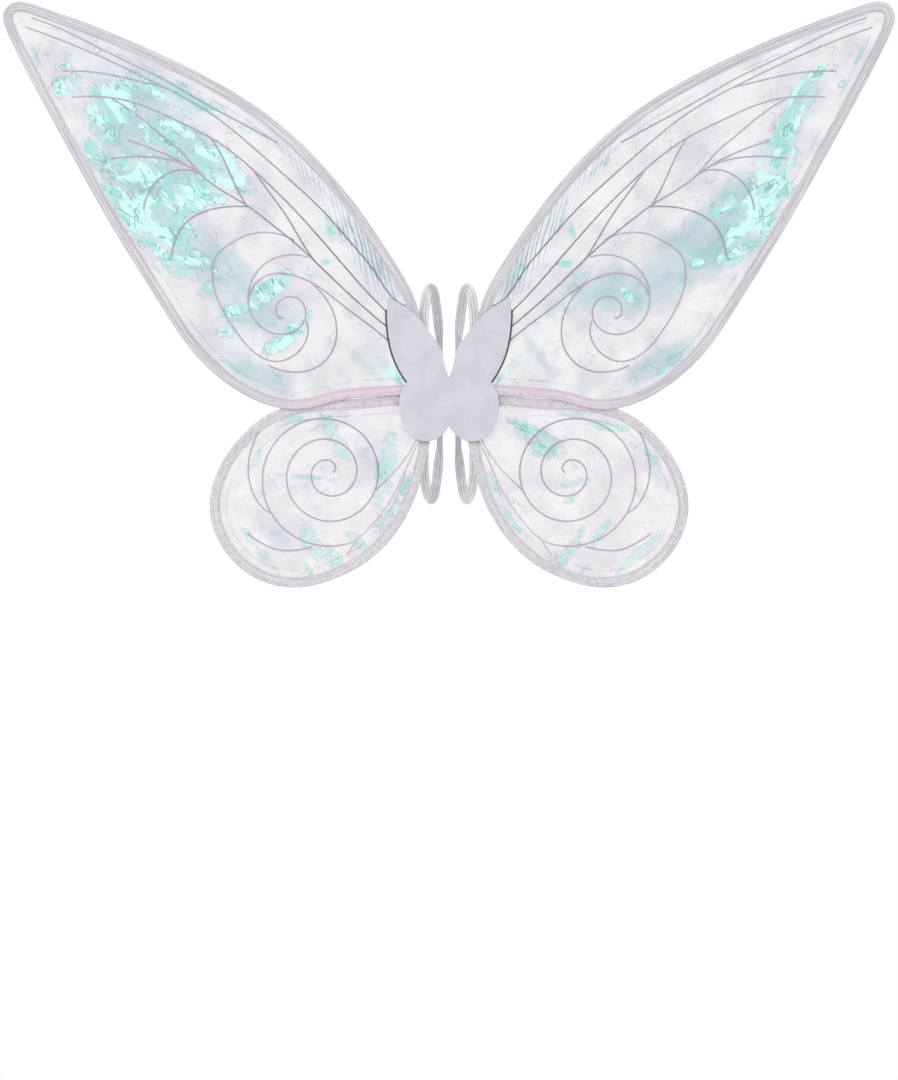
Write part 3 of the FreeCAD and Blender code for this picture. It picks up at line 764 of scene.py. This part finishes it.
def tape(side_name, wing, film_edge, body):
    """The folded edge tape of one wing, gathered along its length."""
    node = f"{side_name}_{wing}_edge_binding"
    seed = SEEDS[side_name] + 5
    points, normals, _ = evenly_spaced(film_edge, TAPE_STEP)
    outer = points + normals * FILM_TUCK
    low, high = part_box(node)
    level = (low.y + high.y) / 2 / MM
    sleeve_low, sleeve_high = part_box(f"{side_name}_{wing}_wire_sleeve")
    root = np.array([(sleeve_low.x + sleeve_high.x) / 2 / MM, (sleeve_low.z + sleeve_high.z) / 2 / MM])
    start = int(np.argmin(np.linalg.norm(outer - root, axis=1)))
    outer, normals = np.roll(outer, -start, axis=0), np.roll(normals, -start, axis=0)
    clear = np.linalg.norm(outer - root, axis=1) > TAPE_GAP / 2
    outer, normals = outer[clear], normals[clear]
    along = np.arange(len(outer)) * TAPE_STEP

    profile = [(d, -h) for d, h in TAPE_PROFILE] + [(0.0, 0.0)] + [(d, h) for d, h in reversed(TAPE_PROFILE)]
    rings, across_values, along_values, blush_values = [], [], [], []
    for inwards, depth in profile:
        # The two faces take their folds from different stretches of noise
        front = depth < 0
        shift = 300 if front else 900
        wander = noise_along(along, shift, 28.0, seed)
        ripple = np.sin(2 * math.pi * (inwards / TAPE_FOLD + 1.1 * wander))
        swell = noise_along(along, inwards * 3 + shift, 16.0, seed + 1)
        height = depth * (1 + TAPE_FOLD_DEPTH * ripple * (0.4 + swell) + TAPE_SWELL_DEPTH * (swell - 0.5))
        uneven = (noise_along(along, 50.0, 9.0, seed + 2) - 0.5) * TAPE_WANDER
        distance = inwards + uneven * smooth_step(np.array(inwards), *TAPE_WANDER_FROM)
        place = outer - normals * distance[:, None]
        rings.append(np.column_stack([place[:, 0], level + height, place[:, 1]]))
        across_values.append(np.full(len(along), inwards))
        along_values.append(along + (0 if front else 5000))
        low_band = smooth_step(place[:, 1], *PINK_HEIGHTS[wing])
        near = smooth_step(np.abs(place[:, 0]), *PINK_REACH)
        blush_values.append(np.clip(low_band * near, 0, 1) * PINK_SHARE[wing])
    stacked = np.stack(rings, axis=1).reshape(-1, 3)
    values = {
        "across": np.stack(across_values, 1).ravel(),
        "along": np.stack(along_values, 1).ravel(),
        "blush": np.stack(blush_values, 1).ravel(),
        "fleck": np.full(len(stacked), FLECK_SHARE[wing]),
    }
    faces = tube_faces(len(outer), len(profile), closed=False)
    piece = new_object(f"{node}_tape", stacked, faces, values)
    fix_normals(piece)
    return finish_piece(piece, MATERIALS["edge_binding"], "edge_binding", body, node)


def fix_normals(piece):
    """Turns the faces of a closed piece outwards."""
    mesh = bmesh.new()
    mesh.from_mesh(piece.data)
    bmesh.ops.recalc_face_normals(mesh, faces=mesh.faces)
    mesh.to_mesh(piece.data)
    mesh.free()


def raised_veins(node, film_edge, side_name, body, material):
    """The CAD's vein strips, rounded into beads and laid over the film's creases."""
    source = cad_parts[node].data
    mesh = bmesh.new()
    mesh.from_mesh(source)
    bmesh.ops.remove_doubles(mesh, verts=mesh.verts, dist=0.001 * MM)
    for _ in range(4):
        long_edges = [e for e in mesh.edges if e.calc_length() > VEIN_STEP * MM]
        if not long_edges:
            break
        bmesh.ops.subdivide_edges(mesh, edges=long_edges, cuts=1)
        bmesh.ops.triangulate(mesh, faces=[f for f in mesh.faces if len(f.verts) > 3])
    mesh.normal_update()
    front = [f for f in mesh.faces if f.normal.y < -0.9]
    shoulder = {v for f in front for v in f.verts if any(g.normal.y > -0.9 for g in v.link_faces)}
    bmesh.ops.inset_region(mesh, faces=front, thickness=BEAD_INSET * MM, use_even_offset=False)
    for vertex in shoulder:
        vertex.co.y += BEAD_DROP * MM
    points = np.array([(v.co.x, v.co.z) for v in mesh.verts]) / MM
    offsets = crinkle(points, film_edge, SEEDS[side_name])
    for vertex, offset in zip(mesh.verts, offsets):
        vertex.co.y += (offset - BEAD_LIFT) * MM
    mesh.verts.index_update()
    places = np.array([v.co[:] for v in mesh.verts]) / MM
    faces = [[v.index for v in f.verts] for f in mesh.faces]
    mesh.free()
    reach = np.linalg.norm(places[:, [0, 2]], axis=1)
    across_line = np.abs(places[:, 0]) + PALE_SLOPE * places[:, 2]
    pale = smooth_step(across_line, *PALE_LINE) * ("hindwing" in node)
    values = {"reach": (reach - reach.min()) / (reach.max() - reach.min()), "pale": pale}
    piece = new_object(f"{node}_beads", places, faces, values)
    fix_normals(piece)
    return finish_piece(piece, MATERIALS[material], material, body, node)


# ---------------------------------------------------------------- the felt patches

def half_outline(side, half, strip):
    """Half of a patch's outline on the +X side, in order from the top of the centre line to its bottom."""
    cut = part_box(strip)[1].x / MM
    pieces = []
    for node in (half, strip):
        edge = rim(node) * (side, 1)
        edge = edge[edge[:, 0] > FELT_SNAP]
        x, z = edge[:, 0], edge[:, 1]
        on_cut = x < cut + FOLD_GAP + FELT_SNAP if node == half else x > cut - FELT_SNAP
        between = on_cut & (z < z[on_cut].max() - FELT_SNAP) & (z > z[on_cut].min() + FELT_SNAP)
        pieces.append(edge[~between])
    centre_line = rim(strip)
    centre_line = centre_line[np.abs(centre_line[:, 0]) < 0.5, 1]
    ends = [(0.0, centre_line.max()), (0.0, centre_line.min())]
    outline = np.vstack(pieces + [ends])
    angle = np.arctan2(outline[:, 1] - FELT_CENTRE[1], outline[:, 0] - FELT_CENTRE[0])
    angle = np.where(angle < FELT_LAST_ANGLE, angle + 2 * math.pi, angle)
    return outline[np.argsort(-angle)]


def felt_net(outline):
    """Half a patch as a flat net of triangles, finest along its rim and near the fold."""
    rim_points, normals, _ = evenly_spaced(outline, FELT_RIM_STEP)
    net = [rim_points]
    for depth in FELT_RIM_ROWS:
        inner = rim_points - normals * depth
        net.append(inner[inner[:, 0] > FELT_FOLD_STEP / 2])
    right, top = outline.max(0)
    bottom = outline.min(0)[1]
    fold_columns = np.arange(FELT_FOLD_STEP, FELT_FOLD_END, FELT_FOLD_STEP)
    for x in (*fold_columns, *np.arange(FELT_FOLD_END, right, FELT_STEP)):
        rows = np.arange(bottom, top, FELT_ROW_STEP if x < FELT_FOLD_END else FELT_STEP)
        column = np.column_stack([np.full(len(rows), x), rows])
        column = column[inside(column, outline)]
        if len(column):
            net.append(column[distance_to(column, outline) > FELT_RIM_CLEAR])
    count = len(rim_points)
    rim_edges = [(i, (i + 1) % count) for i in range(count)]
    points = [Vector(p) for p in np.vstack(net)]
    points, _, faces, _, _, _ = geometry.delaunay_2d_cdt(points, rim_edges, [], 1, 1e-4)
    used = sorted({i for face in faces for i in face})
    number = {old: new for new, old in enumerate(used)}
    return np.array([points[i][:] for i in used]), [[number[i] for i in face] for face in faces]


def felt_half(side_name, layer):
    """Half of one felt patch, from the centre line outwards."""
    side = SIDES[side_name]
    half, strip = f"{side_name}_{layer}_patch", f"{layer}_patch_fold"
    outline = half_outline(side, half, strip)
    low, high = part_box(half)
    middle, half_thick = (low.y + high.y) / 2 / MM, (high.y - low.y) / 2 / MM
    flat, faces = felt_net(outline)
    open_edge = outline[outline[:, 0] > 0.01]
    gap = np.where(flat[:, 0] < FELT_STEP, distance_to_open(flat, open_edge), distance_to(flat, outline))
    rounding = np.clip(gap / FELT_EDGE_ROUND, 0, 1)
    thick = half_thick * (FELT_RIM_THICK + (1 - FELT_RIM_THICK) * np.sqrt(1 - (1 - rounding) ** 2))
    seed = SEEDS["right"] if layer == "front" else SEEDS["left"]
    wave = (noise(flat[:, 0] * side, flat[:, 1], 24.0, seed) - 0.5) * FELT_WAVE
    front = np.column_stack([flat[:, 0] * side, middle - thick + wave, flat[:, 1]])
    rear = np.column_stack([flat[:, 0] * side, middle + thick + wave, flat[:, 1]])
    total = len(flat)
    edges = {}
    for face in faces:
        for a, b in zip(face, face[1:] + face[:1]):
            edges[(a, b)] = edges.get((a, b), 0) + 1
    walls = [(b, a, a + total, b + total) for a, b in edges
             if (b, a) not in edges and max(flat[a][0], flat[b][0]) > 0.01]
    all_faces = faces + [[i + total for i in reversed(face)] for face in faces] + walls
    piece = new_object(f"{side_name}_{layer}_felt", np.vstack([front, rear]), all_faces)
    fix_normals(piece)
    finish_piece(piece, MATERIALS["felt"], "felt", None, half, strip)
    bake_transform(piece)


def distance_to_open(points, line):
    """The distance from each (x, z) point to the nearest of a line's own points."""
    gaps = np.linalg.norm(points[:, None, :] - line[None, :, :], axis=2)
    return gaps.min(axis=1)


# ---------------------------------------------------------------- the arm loops

def strap_route(side_name):
    """The closed middle line of an arm loop and the direction across the band, on the +X side.

    The band runs up the sewn strand, over the crown at the top, down the free strand behind the patch and
    under the crown at the bottom. It narrows to a hairpin at each crown, where it stands on its edge.
    """
    sewn_low, sewn_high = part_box(f"{side_name}_strap_sewn_strand")
    loop_low, loop_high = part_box(f"{side_name}_strap_loop")
    sewn_x = abs(sewn_low.x + sewn_high.x) / 2 / MM
    near_y = sewn_low.y / MM + STRAP_THICK / 2
    far_y = loop_high.y / MM - STRAP_WIDTH / 2 * math.sin(STRAP_TWIST)
    free_x = min(abs(loop_low.x), abs(loop_high.x)) / MM + STRAP_WIDTH / 2
    depth = far_y - near_y
    count, short = SEWN_STRAND
    heights = np.linspace(sewn_low.z / MM + short, sewn_high.z / MM - short, count)
    sewn = [(sewn_x, near_y, z) for z in heights]
    points, across = list(sewn), [(1, 0, 0)] * len(sewn)
    crowns = []
    for tip, direction in ((loop_high.z / MM, 1), (loop_low.z / MM, -1)):
        crown = []
        for inwards, back, below, turn in STRAP_CROWN:
            place = (sewn_x - inwards * (sewn_x - free_x), near_y + back * depth, tip - direction * below)
            turn = math.radians(turn)
            crown.append((place, (math.cos(turn), 0, direction * math.sin(turn))))
        crowns.append(crown)
    top, bottom = crowns
    points += [place for place, _ in top]
    across += [way for _, way in top]
    free_way = (-math.cos(STRAP_TWIST), math.sin(STRAP_TWIST), 0)
    count, short = FREE_STRAND
    for z in np.linspace(top[-1][0][2] - short, bottom[-1][0][2] + short, count):
        points.append((free_x, far_y, z))
        across.append(free_way)
    points += [place for place, _ in reversed(bottom)]
    across += [way for _, way in reversed(bottom)]
    return np.array(points, float), np.array(across, float)


def smooth_loop(values, steps):
    """A closed Catmull-Rom curve through the rows of values, with that many steps between rows."""
    before, after, last = np.roll(values, 1, 0), np.roll(values, -1, 0), np.roll(values, -2, 0)
    rows = []
    for k in range(steps):
        t = k / steps
        bend = 2 * before - 5 * values + 4 * after - last
        twist = 3 * values - before - 3 * after + last
        rows.append(0.5 * (2 * values + (after - before) * t + bend * t * t + twist * t**3))
    return np.stack(rows, axis=1).reshape(-1, values.shape[1])


def arm_loop(side_name):
    """One arm loop: a ribbed elastic band, sewn down on the rear patch and free behind it."""
    side = SIDES[side_name]
    points, across = strap_route(side_name)
    points, across = smooth_loop(points, ROUTE_STEPS), smooth_loop(across, ROUTE_STEPS)
    along = np.roll(points, -1, 0) - np.roll(points, 1, 0)
    along /= np.linalg.norm(along, axis=1)[:, None]
    across -= along * np.sum(across * along, axis=1)[:, None]
    across /= np.linalg.norm(across, axis=1)[:, None]
    outwards = np.cross(along, across)
    run = np.cumsum(np.linalg.norm(points - np.roll(points, 1, 0), axis=1))

    places = np.linspace(-0.5, 0.5, STRAP_RING)
    crest = np.abs(np.cos(math.pi * (places + 0.5) * STRAP_RIBS + math.pi / 2))
    rib = 1 - STRAP_RIB_DEPTH + STRAP_RIB_DEPTH * crest
    rib *= np.sqrt(np.clip(1 - (np.abs(places) * 2) ** 12, 0.1, 1))
    profile = [(p, r) for p, r in zip(places, rib)] + [(p, -r) for p, r in zip(places[::-1], rib[::-1])]
    rings = []
    for place, height in profile:
        rings.append(points + across * place * STRAP_WIDTH + outwards * height * STRAP_THICK / 2)
    stacked = np.stack(rings, axis=1)
    stacked[:, :, 0] *= side
    values = {
        "across": np.tile([p + 0.5 for p, _ in profile], len(points)),
        "along": np.repeat(run, len(profile)),
    }
    faces = tube_faces(len(points), len(profile), closed=True)
    piece = new_object(f"{side_name}_arm_band", stacked.reshape(-1, 3), faces, values)
    fix_normals(piece)
    finish_piece(piece, MATERIALS["strap_elastic"], "strap_elastic", None,
                 f"{side_name}_strap_sewn_strand", f"{side_name}_strap_loop")
    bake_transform(piece)


# ---------------------------------------------------------------- the object

def build_side(side_name):
    """Everything on one side, wing by wing, then the patches and the arm loop."""
    body = f"{side_name}_wing"
    for wing in ("forewing", "hindwing"):
        edge = film(side_name, wing, body)
        tape(side_name, wing, edge, body)
        groups = {"forewing": {"long_veins": "dark_vein", "spiral_veins": "spiral_vein"},
                  "hindwing": {"veins": "spiral_vein"}}
        for group, material in groups[wing].items():
            raised_veins(f"{side_name}_{wing}_{group}", edge, side_name, body, material)
        for node, material in ((f"{wing}_wire", "wire"), (f"{wing}_wire_sleeve", "wire_sleeve")):
            paint(f"{side_name}_{node}", material)
    for node, material in (("wing_seam_stitches", "thread"), ("strap_bar_stitches", "thread"),
                           ("patch_edge_cord", "edge_cord")):
        paint(f"{side_name}_{node}", material)
    for layer in ("front", "rear"):
        felt_half(side_name, layer)
    arm_loop(side_name)


def paint(node, material):
    """A better material on a CAD node that stays."""
    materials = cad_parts[node].data.materials
    materials.clear()
    materials.append(MATERIALS[material])


for name in SIDES:
    build_side(name)


# ---------------------------------------------------------------- the studio

SURROUND_LIGHT = 0.62
# Each light's name, place, size in metres and power in watts
LIGHTS = [
    ("key", (-1.6, -2.6, 1.7), 1.6, 46.0),
    ("fill", (2.0, -2.4, -0.2), 2.0, 16.0),
    ("back", (0.4, 2.6, 1.6), 2.0, 26.0),
]
VIEW_DISTANCE = 4.0
VIEW_HEIGHT = 1.1515
VIEW_CENTRE_Z = -0.147
SENSOR = 36.0


def studio():
    """A pale floor well below the wings, a white surround, three large soft lights and the camera."""
    bpy.ops.mesh.primitive_circle_add(vertices=96, radius=FLOOR_RADIUS, fill_type="NGON",
                                      location=(0, 0, CAD_BOX[0][2] - FLOOR_DROP))
    floor = bpy.context.object
    floor.name = "studio_floor"
    floor.data.materials.append(floor_material())

    world = bpy.data.worlds.new("white surround")
    bpy.context.scene.world = world
    world.use_nodes = True
    nodes, links = world.node_tree.nodes, world.node_tree.links
    seen = nodes.new("ShaderNodeLightPath").outputs["Is Camera Ray"]
    strength = nodes.new("ShaderNodeMapRange")
    strength.inputs["To Min"].default_value = SURROUND_LIGHT
    strength.inputs["To Max"].default_value = 1.0
    links.new(seen, strength.inputs["Value"])
    links.new(strength.outputs[0], nodes["Background"].inputs["Strength"])
    nodes["Background"].inputs["Color"].default_value = (1, 1, 1, 1)

    for name, place, size, power in LIGHTS:
        light = bpy.data.lights.new(name, "AREA")
        light.size = size
        light.energy = power
        lamp = bpy.data.objects.new(name, light)
        lamp.location = place
        lamp.rotation_euler = (-Vector(place)).to_track_quat("-Z", "Y").to_euler()
        bpy.context.scene.collection.objects.link(lamp)

    camera = bpy.data.objects.new("camera", bpy.data.cameras.new("camera"))
    camera.data.sensor_width = SENSOR
    camera.data.lens = SENSOR * VIEW_DISTANCE / VIEW_HEIGHT
    camera.location = (0, -VIEW_DISTANCE, VIEW_CENTRE_Z)
    camera.rotation_euler = (math.pi / 2, 0, 0)
    bpy.context.scene.collection.objects.link(camera)
    bpy.context.scene.camera = camera
    bpy.context.scene.view_settings.view_transform = "Standard"


studio()
